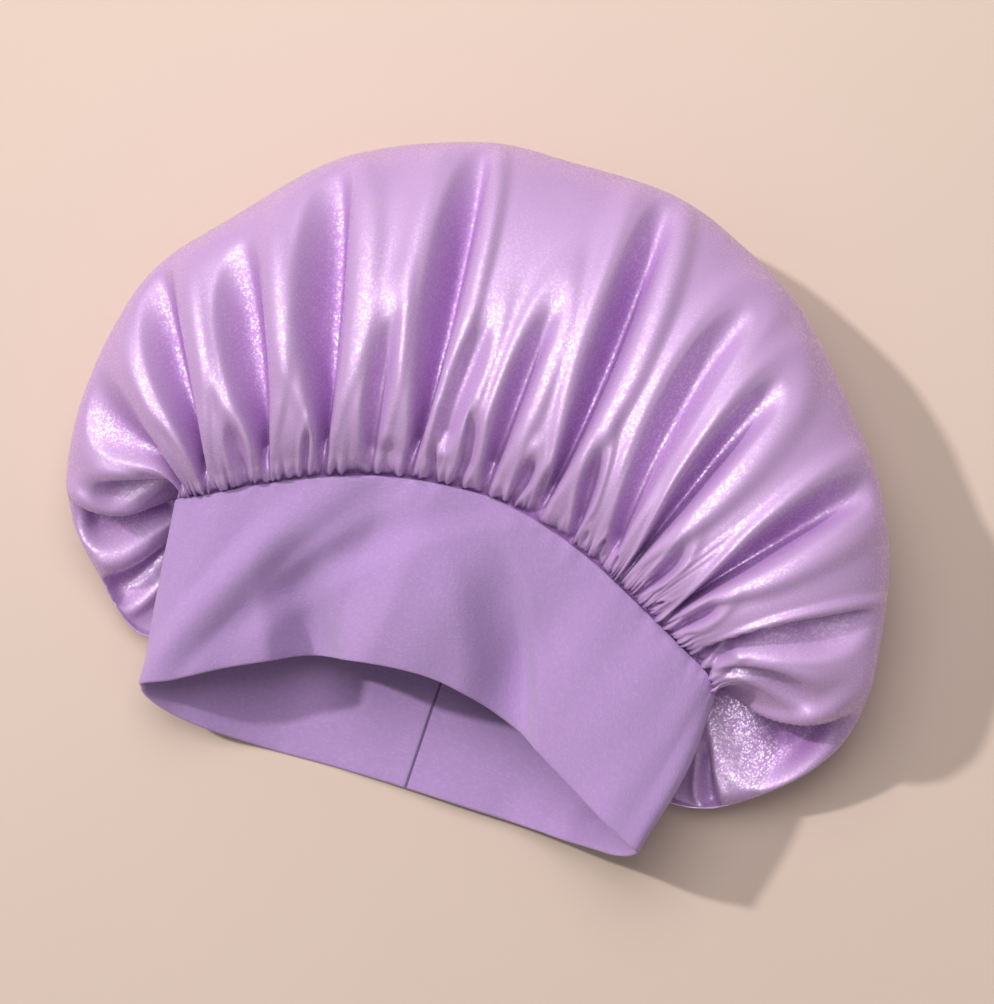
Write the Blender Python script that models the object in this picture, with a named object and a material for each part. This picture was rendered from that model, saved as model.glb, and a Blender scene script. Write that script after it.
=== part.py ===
"""Sleep bonnet lying on its back: a hollow gathered satin crown on a wide folded knit band.

The mouth looks towards -Y and the crown fills +Y. The back of the bonnet lies on the ground at z = 0.
Each cloth is a surface worked out on a grid of columns, round the head, and rows, along the cloth.
"""
import bpy
import numpy as np
from mathutils import Matrix

# Sizes of the band, in metres
BAND_SPREAD = 0.254       # from fold to fold along the sewn edge
RIM_SPREAD = 0.234        # from fold to fold along the rim
BAND_DEPTH = 0.083        # from the sewn edge to the rim
BAND_ARCH = 0.047         # how far the front bows back in the middle
BAND_LIFT = 0.062         # height of the front above the ground
BAND_WALL = 0.0024        # two layers of knit, folded at the rim
BAND_SHIFT = -0.004       # the band sits a little to the left under the crown
DENT_DEPTH = 0.009        # deepest dent of the front

# Sizes of the crown
CROWN_WIDTH = 0.380
CROWN_REACH = 0.205       # from the line between the band's folds to the far side
CROWN_HEIGHT = 0.088
CROWN_WALL = 0.0012
CROWN_ROLL = 0.040        # how far the underside rolls in before it meets the ground
CROWN_REST = 0.117        # from the line between the band's folds to the middle of the underside

# The seam between them, and the gathers
SEAM_ALLOWANCE = 0.006    # width of the crown's edge sewn inside the band
CLEARANCE = 0.0005        # between two cloths that touch
NECK = 0.0015             # how far the crown comes out of the band before it swells
GATHER_DEPTH = 0.016      # depth of the deepest gather
SEAM_SLOPE = 0.5          # how soon the crown leaves the seam aslant, against straight up

# How finely the cloths are divided
BAND_COLUMNS = 4          # to a section
CROWN_COLUMNS = 5
BAND_ROWS = 5
ROUND_STEPS = 4
DOME_ROWS = 12
ROLL_ROWS = 3
FLOOR_ROWS = 2

# Sections of the band from its left fold, over the front to the right fold, and back underneath.
# across: share of half the spread. arch: share of BAND_ARCH towards the crown.
# top, rim: height of the middle of the wall at the sewn edge and at the rim, shares of BAND_LIFT.
BAND_SECTIONS = np.array([
    # across, arch, top, rim
    (-1.00, 0.05, 0.58, 0.50),
    (-0.92, 0.19, 0.74, 0.63),
    (-0.76, 0.43, 0.85, 0.69),
    (-0.58, 0.66, 0.92, 0.70),
    (-0.39, 0.85, 0.95, 0.70),
    (-0.19, 0.96, 0.98, 0.75),
    (0.02, 1.00, 1.00, 0.81),
    (0.22, 0.92, 1.00, 0.82),
    (0.42, 0.75, 0.99, 0.80),
    (0.62, 0.50, 0.96, 0.82),
    (0.82, 0.23, 0.92, 0.87),
    (0.94, 0.09, 0.87, 0.87),
    (0.98, 0.02, 0.77, 0.79),
    (0.93, -0.08, 0.58, 0.60),
    (0.79, -0.17, 0.29, 0.32),
    (0.52, -0.19, 0.06, 0.14),
    (0.18, -0.18, 0.024, 0.07),
    (-0.16, -0.18, 0.023, 0.025),
    (-0.48, -0.20, 0.024, 0.025),
    (-0.76, -0.17, 0.16, 0.19),
    (-0.93, -0.08, 0.36, 0.33),
])

# Dents of the band's front. rim, top: section number at the rim and at the sewn edge.
# reach: share of the depth, up from the rim. width: in sections. deep: share of DENT_DEPTH.
BAND_DENTS = [
    # rim, top, reach, width, deep
    (3.75, 3.35, 0.80, 1.10, 1.0),
    (7.95, 6.60, 1.15, 1.15, 0.7),
    (1.90, 2.60, 1.20, 0.90, 0.3),
]

# Sections of the crown, in the same order round the head.
# seam: number of the band's section, with its fraction, where the section is sewn on.
# across, forward, lift: its outermost place, shares of half CROWN_WIDTH, CROWN_REACH and CROWN_HEIGHT.
# rise: how far the cloth bulges over the straight way there, share of CROWN_HEIGHT.
# lead: how far it runs on from the seam before it turns. roll: how far it rolls in. Shares of CROWN_ROLL.
CROWN_SECTIONS = np.array([
    # seam, across, forward, lift, rise, lead, roll
    (0.00, -0.95, -0.05, 0.28, 0.20, 0.40, 0.7),
    (0.45, -1.00, 0.16, 0.38, 0.27, 0.20, 0.9),
    (1.00, -0.93, 0.45, 0.43, 0.34, 0.10, 1.0),
    (1.85, -0.80, 0.64, 0.45, 0.38, 0.10, 1.0),
    (2.87, -0.57, 0.85, 0.46, 0.42, 0.10, 1.0),
    (4.46, -0.29, 0.97, 0.46, 0.43, 0.10, 1.0),
    (5.73, -0.07, 0.985, 0.46, 0.43, 0.10, 1.0),
    (6.96, 0.19, 1.00, 0.47, 0.43, 0.10, 1.0),
    (8.00, 0.38, 0.93, 0.48, 0.42, 0.10, 1.0),
    (8.55, 0.56, 0.86, 0.49, 0.42, 0.10, 1.0),
    (9.03, 0.74, 0.67, 0.50, 0.40, 0.10, 1.0),
    (9.46, 0.88, 0.48, 0.50, 0.38, 0.10, 1.0),
    (10.2, 0.97, 0.27, 0.47, 0.34, 0.15, 0.9),
    (12.0, 0.98, -0.04, 0.34, 0.18, 0.40, 0.7),
    (12.8, 0.80, -0.24, 0.17, 0.02, 0.75, 0.5),
    (13.4, 0.62, -0.29, 0.10, -0.12, 0.75, 0.4),
    (14.1, 0.42, -0.19, 0.04, -0.06, 0.45, 0.3),
    (15.0, 0.27, -0.01, 0.02, 0.00, 0.10, 0.3),
    (16.5, 0.00, 0.06, 0.01, 0.00, 0.10, 0.3),
    (18.1, -0.32, 0.04, 0.02, 0.00, 0.10, 0.3),
    (19.1, -0.51, -0.14, 0.04, -0.03, 0.45, 0.3),
    (20.0, -0.66, -0.29, 0.09, -0.10, 0.75, 0.4),
    (20.5, -0.80, -0.20, 0.17, 0.02, 0.75, 0.5),
])

# Gathers of the crown. seam, tip: section of the crown where a gather leaves the seam and where it dies out.
# reach: share of the dome. width: in sections. deep: share of GATHER_DEPTH.
GATHERS = [
    # seam, tip, reach, width, deep
    (22.1, 22.0, 0.95, 0.35, 0.5),
    (22.6, 22.9, 0.95, 0.30, 0.8),
    (0.35, 0.30, 0.50, 0.35, 0.5),
    (1.00, 1.05, 0.85, 0.40, 0.6),
    (2.05, 2.00, 0.85, 0.50, 0.9),
    (3.10, 3.05, 0.80, 0.50, 0.9),
    (4.10, 3.95, 0.90, 0.55, 1.0),
    (5.00, 4.95, 0.92, 0.60, 1.0),
    (6.30, 6.20, 0.60, 0.50, 0.6),
    (7.15, 6.85, 0.90, 0.55, 1.0),
    (8.35, 8.15, 0.80, 0.50, 0.6),
    (9.40, 9.40, 0.80, 0.50, 0.8),
    (10.5, 10.5, 0.88, 0.50, 0.9),
    (11.7, 11.5, 0.75, 0.45, 0.7),
    (13.4, 13.2, 0.90, 0.40, 0.8),
]

SEAM_ROWS = 2             # rows of the crown inside the band
NUDGE = 0.02              # a small step, in sections


def closed_spline(rows, places, turn=0.0):
    """Smooth closed curve through the rows, read at row numbers; the first column grows by turn each round."""
    step = np.floor(places).astype(int)
    part = (places - step)[:, None]
    lap = np.zeros(rows.shape[1])
    lap[0] = turn
    before, here, after, beyond = (
        rows[(step + k) % len(rows)] + ((step + k) // len(rows))[:, None] * lap for k in (-1, 0, 1, 2)
    )
    return 0.5 * (
        2 * here
        + (after - before) * part
        + (2 * before - 5 * here + 4 * after - beyond) * part**2
        + (3 * here - before - 3 * after + beyond) * part**3
    )


def unit(vectors):
    """Vectors of length one."""
    return vectors / np.linalg.norm(vectors, axis=-1, keepdims=True)


def bump(distance):
    """Smooth bump, 1 at distance 0 and nothing past distance 1."""
    return np.where(np.abs(distance) < 1, (1 - distance**2) ** 2, 0.0)


def band_edges(places):
    """Sewn edge and rim, along the middle of the band's wall, no lower than a wall that lies on the ground."""
    across, arch, top_lift, rim_lift = closed_spline(BAND_SECTIONS, places).T
    top = np.stack([across * BAND_SPREAD / 2, arch * BAND_ARCH, top_lift * BAND_LIFT], -1)
    rim = np.stack([across * RIM_SPREAD / 2, arch * BAND_ARCH - BAND_DEPTH, rim_lift * BAND_LIFT], -1)
    lying = (-np.inf, -np.inf, BAND_WALL / 2)
    return np.maximum(top, lying) + (BAND_SHIFT, 0, 0), np.maximum(rim, lying) + (BAND_SHIFT, 0, 0)


def band_frame(places):
    """Sewn edge and rim of the band with the wall's upward and outward directions."""
    top, rim = band_edges(places)
    along = sum(band_edges(places + NUDGE)) - sum(band_edges(places - NUDGE))
    upward = unit(top - rim)
    return top, rim, upward, unit(np.cross(along, upward))


def dents(places, up):
    """How far the band's wall is pushed in, at shares of its depth up from the rim."""
    depth = 0.0
    for at_rim, at_top, reach, width, deep in BAND_DENTS:
        middle = at_rim + (at_top - at_rim) * up
        depth = depth + deep * DENT_DEPTH * bump((places - middle) / width) * bump(np.minimum(up / reach, 1))
    return depth


def inside_band(places, below):
    """Places that lie inside the band with the clearance, at a distance below its sewn edge."""
    top, _, upward, out = band_frame(places)
    dent = dents(places % len(BAND_SECTIONS), 1 - below / BAND_DEPTH)
    return top - upward * below - out * (BAND_WALL / 2 + CLEARANCE + dent)[:, None], upward


def band_skin():
    """Closed skin of the band: up the outside, over the sewn edge, down the inside and round the rim."""
    places = np.arange(len(BAND_SECTIONS) * BAND_COLUMNS) / BAND_COLUMNS
    top, rim, upward, out = (side[:, None] for side in band_frame(places))
    up = np.linspace(0, 1, BAND_ROWS + 1)[None, :]
    middle = rim + (top - rim) * up[..., None] - out * dents(places[:, None], up)[..., None]
    half = BAND_WALL / 2
    angle = np.linspace(0, np.pi, ROUND_STEPS + 1)[None, 1:-1, None]
    over_top = middle[:, -1:] + half * (out * np.cos(angle) + upward * np.sin(angle))
    round_rim = middle[:, :1] - half * (out * np.cos(angle) + upward * np.sin(angle))
    return np.concatenate([middle + out * half, over_top, (middle - out * half)[:, ::-1], round_rim], 1)


def crown_skin():
    """Outer skin of the crown, from its edge inside the band, over the dome and under to a pole.

    Each section leaves the seam, bulges over the straight way to its outermost place in half an ellipse,
    rolls in by a quarter ellipse and lies on the ground as far as the middle of the underside.
    """
    sections = np.arange(len(CROWN_SECTIONS) * CROWN_COLUMNS) / CROWN_COLUMNS
    seam, across, forward, lift, rise, lead, roll = closed_spline(CROWN_SECTIONS, sections, len(BAND_SECTIONS)).T
    hidden, _ = inside_band(seam, SEAM_ALLOWANCE)
    start, upward = inside_band(seam, 0.0)
    neck = start + upward * (BAND_WALL / 2 + NECK)
    far = np.stack([across * CROWN_WIDTH / 2, forward * CROWN_REACH, np.maximum(lift, 0) * CROWN_HEIGHT], -1)
    pole = np.array([0.0, CROWN_REST, 0.0])
    inward = unit((pole - far) * (1, 1, 0))
    flat = far * (1, 1, 0)

    angle = np.linspace(0, np.pi, DOME_ROWS + 1)[None, 1:, None]
    share = angle / np.pi
    slope = (SEAM_SLOPE * (1 - lead) ** 2)[:, None, None]
    run = (1 - np.cos(angle)) / 2 + slope * share * (1 - share) ** 3
    dome = neck[:, None] + (far - neck)[:, None] * run
    bulge = upward * (lead * CROWN_ROLL)[:, None]
    dome = dome + bulge[:, None] * np.sin(angle) * (1 + np.cos(angle)) / 2
    dome[..., 2] += (rise * CROWN_HEIGHT)[:, None] * np.sin(angle[..., 0])
    turn = np.linspace(0, np.pi / 2, ROLL_ROWS + 1)[None, 1:, None]
    rolled = (inward * (roll * CROWN_ROLL)[:, None])[:, None] * (1 - np.cos(turn))
    under = flat[:, None] + rolled + (far - flat)[:, None] * (1 - np.sin(turn))
    part = np.linspace(0, 1, FLOOR_ROWS + 1)[None, 1:-1, None]
    ground = under[:, -1:] + (pole - under[:, -1:]) * part
    return np.concatenate([hidden[:, None], start[:, None], neck[:, None], dome, under, ground], 1), pole


def gathered(skin):
    """The skin with its gathers pressed in, square to the skin."""
    columns, rows = skin.shape[:2]
    count = len(CROWN_SECTIONS)
    section = np.arange(columns)[:, None] / CROWN_COLUMNS
    share = np.clip((np.arange(rows)[None, :] - SEAM_ROWS) / DOME_ROWS, 0, 1)
    deep = np.zeros((columns, rows))
    for at_seam, at_tip, reach, width, depth in GATHERS:
        middle = at_seam + (at_tip - at_seam) * share
        away = (section - middle + count / 2) % count - count / 2
        along = np.sin(np.pi * np.clip(share / reach, 0, 1) ** 0.6)
        deep += depth * bump(away / width) * along
    round_head = np.roll(skin, -1, 0) - np.roll(skin, 1, 0)
    normal = unit(np.cross(round_head, np.gradient(skin, axis=1)))
    pressed = skin - normal * (deep * GATHER_DEPTH)[..., None]
    pressed[..., 2] = np.maximum(pressed[..., 2], 0)
    return pressed


def add_piece(name, points, faces, colour, roughness):
    """Add an object of smooth faces with its own material."""
    mesh = bpy.data.meshes.new(name)
    mesh.from_pydata(points.reshape(-1, 3).tolist(), [], faces)
    mesh.shade_smooth()
    material = bpy.data.materials.new(name)
    material.use_nodes = True
    shader = material.node_tree.nodes["Principled BSDF"]
    shader.inputs["Base Color"].default_value = (*colour, 1.0)
    shader.inputs["Roughness"].default_value = roughness
    shader.inputs["Metallic"].default_value = 0.0
    mesh.materials.append(material)
    piece = bpy.data.objects.new(name, mesh)
    bpy.context.collection.objects.link(piece)
    return piece


def strips(columns, rows, closed_rows):
    """Faces of a grid that closes round its columns, and round its rows where closed_rows is true."""
    last = rows if closed_rows else rows - 1
    return [
        (c * rows + r, (c + 1) % columns * rows + r,
         (c + 1) % columns * rows + (r + 1) % rows, c * rows + (r + 1) % rows)
        for c in range(columns) for r in range(last)
    ]


def make_band():
    """The knit band, a closed loop of folded cloth."""
    skin = band_skin()
    return add_piece("band", skin, strips(*skin.shape[:2], True), (0.41, 0.28, 0.62), 0.85)


def make_crown():
    """The satin crown, one hollow bag with its mouth at the band."""
    skin, pole = crown_skin()
    skin = gathered(skin)
    columns, rows = skin.shape[:2]
    faces = strips(columns, rows, False)
    faces += [(c * rows + rows - 1, (c + 1) % columns * rows + rows - 1, columns * rows) for c in range(columns)]
    points = np.concatenate([skin.reshape(-1, 3), pole[None]])
    crown = add_piece("crown", points, faces, (0.55, 0.38, 0.74), 0.35)
    wall = crown.modifiers.new("wall", "SOLIDIFY")
    wall.thickness = CROWN_WALL
    wall.offset = -1.0
    return crown


def centre_on_ground(pieces):
    """Move the meshes so that the whole bonnet's box stands with the middle of its base at the origin."""
    corners = np.array([corner for piece in pieces for corner in piece.bound_box])
    low, high = corners.min(0), corners.max(0)
    for piece in pieces:
        piece.data.transform(Matrix.Translation((-(low[0] + high[0]) / 2, -(low[1] + high[1]) / 2, -low[2])))


def main():
    for thing in list(bpy.data.objects):
        bpy.data.objects.remove(thing, do_unlink=True)
    centre_on_ground([make_band(), make_crown()])


main()
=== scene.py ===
from math import pi, radians

import bpy
import numpy as np
from bpy.props import FloatProperty, FloatVectorProperty, IntProperty, PointerProperty
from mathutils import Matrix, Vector


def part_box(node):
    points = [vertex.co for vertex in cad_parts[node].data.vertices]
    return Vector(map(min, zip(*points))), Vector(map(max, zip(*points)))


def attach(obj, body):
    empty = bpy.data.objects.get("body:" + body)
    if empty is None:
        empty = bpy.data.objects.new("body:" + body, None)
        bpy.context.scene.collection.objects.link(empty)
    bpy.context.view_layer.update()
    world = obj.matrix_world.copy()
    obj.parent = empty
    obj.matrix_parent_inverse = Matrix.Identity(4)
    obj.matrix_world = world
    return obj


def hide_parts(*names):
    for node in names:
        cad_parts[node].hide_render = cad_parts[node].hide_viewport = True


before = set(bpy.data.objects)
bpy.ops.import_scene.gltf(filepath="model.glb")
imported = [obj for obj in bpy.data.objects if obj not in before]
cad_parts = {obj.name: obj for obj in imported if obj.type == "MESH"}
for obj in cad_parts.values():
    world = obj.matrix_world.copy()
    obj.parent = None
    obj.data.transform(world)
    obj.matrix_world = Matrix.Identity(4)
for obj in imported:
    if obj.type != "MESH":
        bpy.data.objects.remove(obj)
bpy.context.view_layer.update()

bl_info = {
    "name": "Sleep bonnet",
    "version": (1, 0, 0),
    "blender": (4, 5, 0),
    "location": "View3D > Sidebar > Bonnet",
    "description": "Gathered satin crown on a folded knit band, lying on its back",
    "category": "Add Mesh",
}

CROWN_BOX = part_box("crown")

# Place in the CAD's frame of the point midway between the band's folds, on the ground.
FRAME_PLACE = (0.00058, -0.05595, 0.0)

# Sections of the band from its left fold, over the front to the right fold, and back underneath.
# across: share of half the spread. arch: share of the arch towards the crown.
# top, rim: height of the middle of the wall at the sewn edge and at the rim, shares of the lift.
# drop: how much nearer to the rim the sewn edge lies, share of the depth.
BAND_SECTIONS = np.array([
    # across, arch, top, rim, drop
    (-1.02, 0.04, 0.58, 0.50, 0.00),
    (-0.92, 0.19, 0.74, 0.63, 0.00),
    (-0.76, 0.43, 0.85, 0.64, 0.00),
    (-0.58, 0.66, 0.92, 0.63, 0.00),
    (-0.39, 0.85, 0.95, 0.62, 0.00),
    (-0.19, 0.96, 0.98, 0.66, 0.00),
    (0.02, 1.00, 1.00, 0.71, 0.00),
    (0.22, 0.92, 1.00, 0.72, 0.00),
    (0.42, 0.75, 0.99, 0.72, 0.00),
    (0.62, 0.50, 0.96, 0.76, 0.00),
    (0.82, 0.23, 0.92, 0.87, 0.00),
    (0.94, 0.09, 0.87, 0.87, 0.02),
    (0.98, 0.02, 0.77, 0.79, 0.09),
    (0.93, -0.08, 0.58, 0.60, 0.11),
    (0.79, -0.13, 0.29, 0.32, 0.05),
    (0.52, -0.15, 0.06, 0.14, 0.00),
    (0.18, -0.16, 0.024, 0.07, 0.00),
    (-0.16, -0.18, 0.023, 0.025, 0.00),
    (-0.48, -0.22, 0.024, 0.025, 0.00),
    (-0.78, -0.20, 0.16, 0.19, 0.00),
    (-0.96, -0.11, 0.36, 0.33, 0.00),
])

# Sections of the crown, in the same order round the head.
# seam: number of the band's section, with its fraction, where the section is sewn on.
# across, forward, lift: its outermost place, shares of half the width, the reach and the height.
# rise: how far the cloth bulges over the straight way there, share of the height.
# lead: how far it runs on from the seam before it turns. roll: how far it rolls in. Shares of the roll.
CROWN_SECTIONS = np.array([
    # seam, across, forward, lift, rise, lead, roll
    (0.00, -0.965, -0.05, 0.28, 0.20, 0.40, 0.7),
    (0.45, -0.993, 0.185, 0.38, 0.27, 0.20, 0.9),
    (1.00, -0.935, 0.455, 0.43, 0.34, 0.10, 1.0),
    (1.85, -0.785, 0.64, 0.45, 0.38, 0.10, 1.0),
    (2.87, -0.57, 0.845, 0.46, 0.42, 0.10, 1.0),
    (4.46, -0.28, 0.965, 0.46, 0.43, 0.10, 1.0),
    (5.73, -0.06, 0.985, 0.46, 0.43, 0.10, 1.0),
    (6.96, 0.19, 0.985, 0.47, 0.43, 0.10, 1.0),
    (8.00, 0.37, 0.93, 0.48, 0.42, 0.10, 1.0),
    (8.55, 0.55, 0.838, 0.49, 0.42, 0.10, 1.0),
    (9.03, 0.735, 0.667, 0.50, 0.40, 0.10, 1.0),
    (9.46, 0.887, 0.48, 0.50, 0.38, 0.10, 1.0),
    (10.2, 0.967, 0.265, 0.47, 0.34, 0.15, 0.9),
    (12.0, 0.985, -0.03, 0.34, 0.18, 0.40, 0.7),
    (12.8, 0.808, -0.235, 0.17, 0.02, 0.75, 0.5),
    (13.4, 0.62, -0.29, 0.10, -0.12, 0.75, 0.4),
    (14.1, 0.42, -0.19, 0.04, -0.06, 0.45, 0.3),
    (15.0, 0.27, -0.01, 0.02, 0.00, 0.10, 0.3),
    (16.5, 0.00, 0.06, 0.01, 0.00, 0.10, 0.3),
    (18.1, -0.32, 0.04, 0.02, 0.00, 0.10, 0.3),
    (19.1, -0.51, -0.14, 0.04, -0.03, 0.45, 0.3),
    (20.0, -0.68, -0.30, 0.09, -0.10, 0.75, 0.4),
    (20.5, -0.83, -0.212, 0.17, 0.02, 0.75, 0.5),
])

# Folds of the band's wall. rim, middle, top: section number at the rim, half way up and at the sewn edge.
# peak, reach: where up the band the fold is deepest, and how far it goes on from there. left, right: its half
# widths in sections. deep: share of the dent depth, below 0 where the wall stands out.
BAND_FOLDS = [
    # rim, middle, top, peak, reach, left, right, deep
    (3.88, 3.25, 2.65, 0.00, 0.75, 1.00, 0.60, 1.00),
    (8.00, 7.20, 5.70, 0.20, 0.80, 1.40, 0.40, 0.75),
    (5.00, 5.15, 5.20, 0.25, 0.95, 1.00, 2.60, -0.80),
    (0.40, 1.90, 3.46, 0.45, 0.75, 0.90, 0.90, -0.30),
    (1.40, 3.60, 6.00, 0.55, 0.55, 0.90, 1.00, 0.20),
    (8.60, 8.80, 9.00, 0.35, 0.75, 1.00, 2.00, -0.25),
    (11.9, 12.2, 12.4, 0.60, 0.65, 1.30, 1.30, -0.27),
    (14.3, 14.2, 14.0, 0.10, 0.60, 0.40, 0.35, 0.14),
    (13.6, 13.5, 13.4, 0.05, 0.60, 0.35, 0.35, -0.12),
    (15.1, 15.0, 14.9, 0.05, 0.50, 0.50, 0.40, -0.08),
]

# Gathers of the crown. seam, middle, tip: section where a gather starts, half way and where it dies out.
# start, end: shares of the dome there. left, right: half widths at its broadest, in sections.
# mouth: share of that width at the start. deep: share of the gather depth.
# lean: how far its right wall hangs over it, or its left wall where negative, share of the half width.
GATHERS = [
    # seam, middle, tip, start, end, left, right, mouth, deep, lean
    (0.70, 0.85, 1.10, 0.05, 0.84, 0.50, 0.42, 0.6, 0.60, 0.1),
    (2.01, 2.08, 2.19, 0.02, 0.88, 0.42, 0.34, 0.5, 0.90, 0.3),
    (2.98, 2.85, 2.79, 0.00, 0.26, 0.20, 0.18, 0.6, 0.30, 0.0),
    (3.38, 3.24, 3.09, 0.02, 0.75, 0.45, 0.31, 0.3, 0.90, 0.35),
    (3.98, 3.98, 3.97, 0.00, 0.17, 0.07, 0.06, 0.8, 0.30, 0.2),
    (4.22, 4.12, 3.94, 0.01, 0.86, 0.42, 0.22, 0.2, 1.00, 0.5),
    (4.70, 4.66, 4.63, 0.01, 0.44, 0.16, 0.11, 0.6, 0.50, 0.3),
    (4.87, 4.84, 4.81, 0.00, 0.12, 0.10, 0.11, 0.8, 0.20, 0.0),
    (5.14, 5.15, 5.04, 0.01, 0.88, 0.34, 0.19, 0.3, 1.00, 0.5),
    (5.47, 5.40, 5.34, 0.00, 0.12, 0.07, 0.06, 0.8, 0.25, 0.2),
    (5.45, 5.50, 5.60, 0.10, 0.44, 0.22, 0.18, 0.8, 0.35, 0.0),
    (5.77, 5.76, 5.69, 0.00, 0.24, 0.07, 0.17, 0.7, 0.35, -0.3),
    (6.16, 6.20, 6.25, 0.01, 0.50, 0.22, 0.20, 0.6, 0.75, 0.4),
    (6.53, 6.62, 6.62, 0.00, 0.17, 0.14, 0.11, 0.7, 0.45, 0.2),
    (6.86, 6.87, 6.85, 0.00, 0.16, 0.05, 0.06, 0.8, 0.30, -0.2),
    (6.98, 7.08, 6.93, 0.01, 0.87, 0.34, 0.31, 0.3, 1.00, 0.5),
    (7.57, 7.50, 7.42, 0.00, 0.28, 0.14, 0.15, 0.4, 0.60, 0.0),
    (7.75, 7.77, 7.76, 0.00, 0.07, 0.05, 0.06, 0.9, 0.25, 0.0),
    (8.13, 8.13, 8.12, 0.00, 0.08, 0.05, 0.06, 0.9, 0.35, 0.0),
    (8.47, 8.28, 8.48, 0.02, 0.74, 0.40, 0.36, 0.7, 0.65, 0.2),
    (8.74, 8.71, 8.71, 0.00, 0.07, 0.05, 0.06, 0.9, 0.25, 0.0),
    (9.12, 9.23, 9.29, 0.01, 0.68, 0.30, 0.40, 0.3, 0.95, 0.4),
    (9.80, 9.94, 9.85, 0.01, 0.26, 0.22, 0.22, 0.4, 0.42, 0.1),
    (10.47, 10.54, 10.62, 0.00, 0.08, 0.09, 0.08, 0.8, 0.30, 0.1),
    (11.10, 10.82, 10.72, 0.01, 0.86, 0.34, 0.38, 0.2, 0.95, 0.4),
    (11.44, 11.42, 11.29, 0.01, 0.26, 0.22, 0.20, 0.4, 0.40, 0.1),
    (12.13, 12.01, 11.97, 0.01, 0.82, 0.12, 0.43, 0.4, 0.85, -0.5),
    (12.36, 12.33, 12.30, 0.02, 0.20, 0.12, 0.14, 0.6, 0.35, 0.2),
    (12.60, 12.75, 12.85, 0.10, 0.62, 0.20, 0.22, 0.6, 0.30, 0.0),
    (14.60, 13.40, 13.00, 0.30, 1.00, 0.44, 0.85, 0.6, 1.15, -0.12),
    (14.50, 14.40, 14.35, 0.58, 0.97, 0.14, 0.14, 0.6, 0.50, 0.0),
    (21.00, 21.62, 21.85, 0.48, 0.98, 0.26, 0.30, 0.9, 0.50, 0.2),
    (21.30, 22.45, 22.90, 0.35, 1.00, 0.42, 0.26, 0.7, 0.85, 0.25),
    (22.30, 22.68, 22.92, 0.20, 0.68, 0.34, 0.30, 0.7, 0.50, 0.2),
]


class BonnetSizes(bpy.types.PropertyGroup):
    """Sizes of the cloths, in metres, and how the crown is gathered."""

    band_spread: FloatProperty(
        name="Band spread", description="From fold to fold along the sewn edge",
        default=0.254, unit="LENGTH")
    rim_spread: FloatProperty(
        name="Rim spread", description="From fold to fold along the rim", default=0.234, unit="LENGTH")
    band_depth: FloatProperty(
        name="Band depth", description="From the sewn edge to the rim", default=0.083, unit="LENGTH")
    band_arch: FloatProperty(
        name="Band arch", description="How far the front bows back in the middle",
        default=0.047, unit="LENGTH")
    band_lift: FloatProperty(
        name="Band lift", description="Height of the front above the ground", default=0.062, unit="LENGTH")
    band_wall: FloatProperty(
        name="Band wall", description="Two layers of knit, folded at the rim",
        default=0.0024, unit="LENGTH")
    band_shift: FloatProperty(
        name="Band shift", description="How far the band sits to the right", default=-0.004, unit="LENGTH")
    knit_wall: FloatProperty(
        name="Knit", description="Thickness of one layer of the knit", default=0.0009, unit="LENGTH")
    dent_depth: FloatProperty(
        name="Dent depth", description="Depth that the folds of the band are shares of",
        default=0.017, unit="LENGTH")
    crown_reach: FloatProperty(
        name="Crown reach", description="From the band's folds to the far side",
        default=0.205, unit="LENGTH")
    crown_height: FloatProperty(
        name="Crown height", description="Height that the crown's shares are of",
        default=0.088, unit="LENGTH")
    crown_roll: FloatProperty(
        name="Crown roll", description="How far the underside rolls in", default=0.040, unit="LENGTH")
    crown_rest: FloatProperty(
        name="Crown rest", description="From the band's folds to the middle of the underside",
        default=0.117, unit="LENGTH")
    satin_wall: FloatProperty(
        name="Satin", description="Thickness of the satin", default=0.0005, unit="LENGTH")
    gather_depth: FloatProperty(
        name="Gather depth", description="Depth of the deepest gather", default=0.0135, unit="LENGTH")
    pucker_depth: FloatProperty(
        name="Pucker depth", description="Depth of the fine puckers at the seam",
        default=0.0016, unit="LENGTH")
    puckers: IntProperty(
        name="Puckers", description="Fine puckers along the whole seam", default=112)
    satin_width: FloatProperty(
        name="Satin round", description="Width of the uncut satin that goes round",
        default=0.90, unit="LENGTH")
    neck: FloatProperty(
        name="Neck", description="How far the crown comes out of the band before it swells",
        default=0.0006, unit="LENGTH")
    seam_slope: FloatProperty(
        name="Slope at the seam", description="How soon the crown leaves the seam aslant", default=0.85)
    allowance: FloatProperty(
        name="Seam allowance", description="Edge of the crown inside the band",
        default=0.006, unit="LENGTH")
    floor_gap: FloatProperty(
        name="Floor gap", description="Least height of the crown above the ground",
        default=0.0006, unit="LENGTH")
    clearance: FloatProperty(
        name="Clearance", description="Between two cloths that touch", default=0.0004, unit="LENGTH")


class BonnetColours(bpy.types.PropertyGroup):
    """Colours of the cloths and of the stage."""

    satin: FloatVectorProperty(
        name="Satin", description="Body of the satin", subtype="COLOR", default=(0.58, 0.375, 0.675))
    # Colour of the satin's slow deeper tone, and of the painted shade deep in the gathers and by the seam.
    satin_deep: FloatVectorProperty(
        name="Satin, deep", description="Satin deep in a gather",
        subtype="COLOR", default=(0.37, 0.16, 0.48))
    knit: FloatVectorProperty(
        name="Knit", description="Body of the knit", subtype="COLOR", default=(0.37, 0.225, 0.495))
    knit_pale: FloatVectorProperty(
        name="Knit, raised", description="Raised threads of the knit",
        subtype="COLOR", default=(0.465, 0.30, 0.60))
    # Colour of the painted shade in the groove of the band's seam at the back.
    seam_line: FloatVectorProperty(
        name="Seam", description="Dark line of the band's seam",
        subtype="COLOR", default=(0.14, 0.07, 0.21))
    ground: FloatVectorProperty(
        name="Ground", description="Pale ground", subtype="COLOR", default=(0.72, 0.58, 0.50))


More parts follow.
